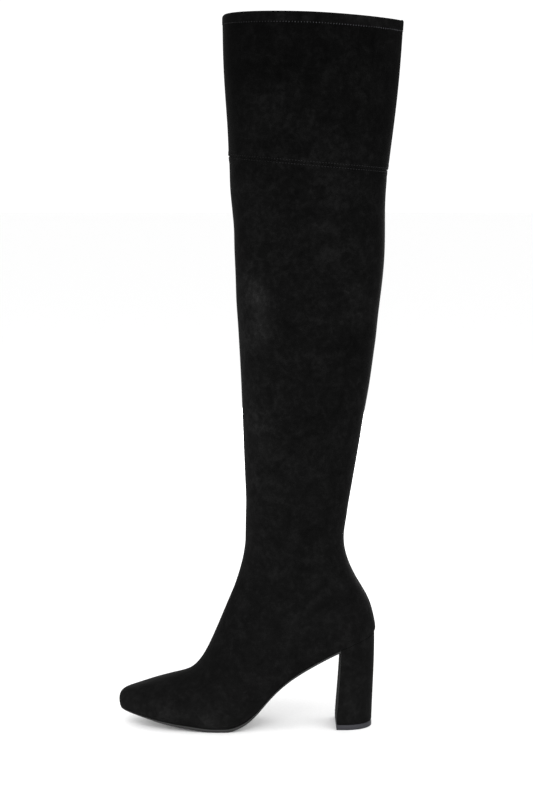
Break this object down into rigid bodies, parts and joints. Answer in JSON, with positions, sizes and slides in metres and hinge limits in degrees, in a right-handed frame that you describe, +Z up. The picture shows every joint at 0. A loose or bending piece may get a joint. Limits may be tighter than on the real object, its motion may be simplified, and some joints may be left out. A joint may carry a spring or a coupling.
{
  "type": "heeled over-the-knee boot",
  "caption": "Left over-the-knee suede boot with a round toe, a stitched knee seam, a thin sole and a tall covered block heel, open at the collar for the leg.",
  "frame": {"origin": "on the floor, under the middle of the boot's length and width", "axes": "+Z up the shaft, -X to the toe, -Y to the outer side of the left foot"},
  "size_m": [0.2608, 0.103, 0.653],
  "materials": {
    "suede": "matt black suede with a short nap",
    "sole": "dull dark grey edge",
    "rubber": "dull dark grey",
    "sock": "matt black textile"
  },
  "bodies": {
    "root": {"upper": "suede", "thigh_panel": "suede", "heel": "suede", "outsole": "sole", "top_piece": "rubber", "insole": "sock"}
  },
  "joints": []
}
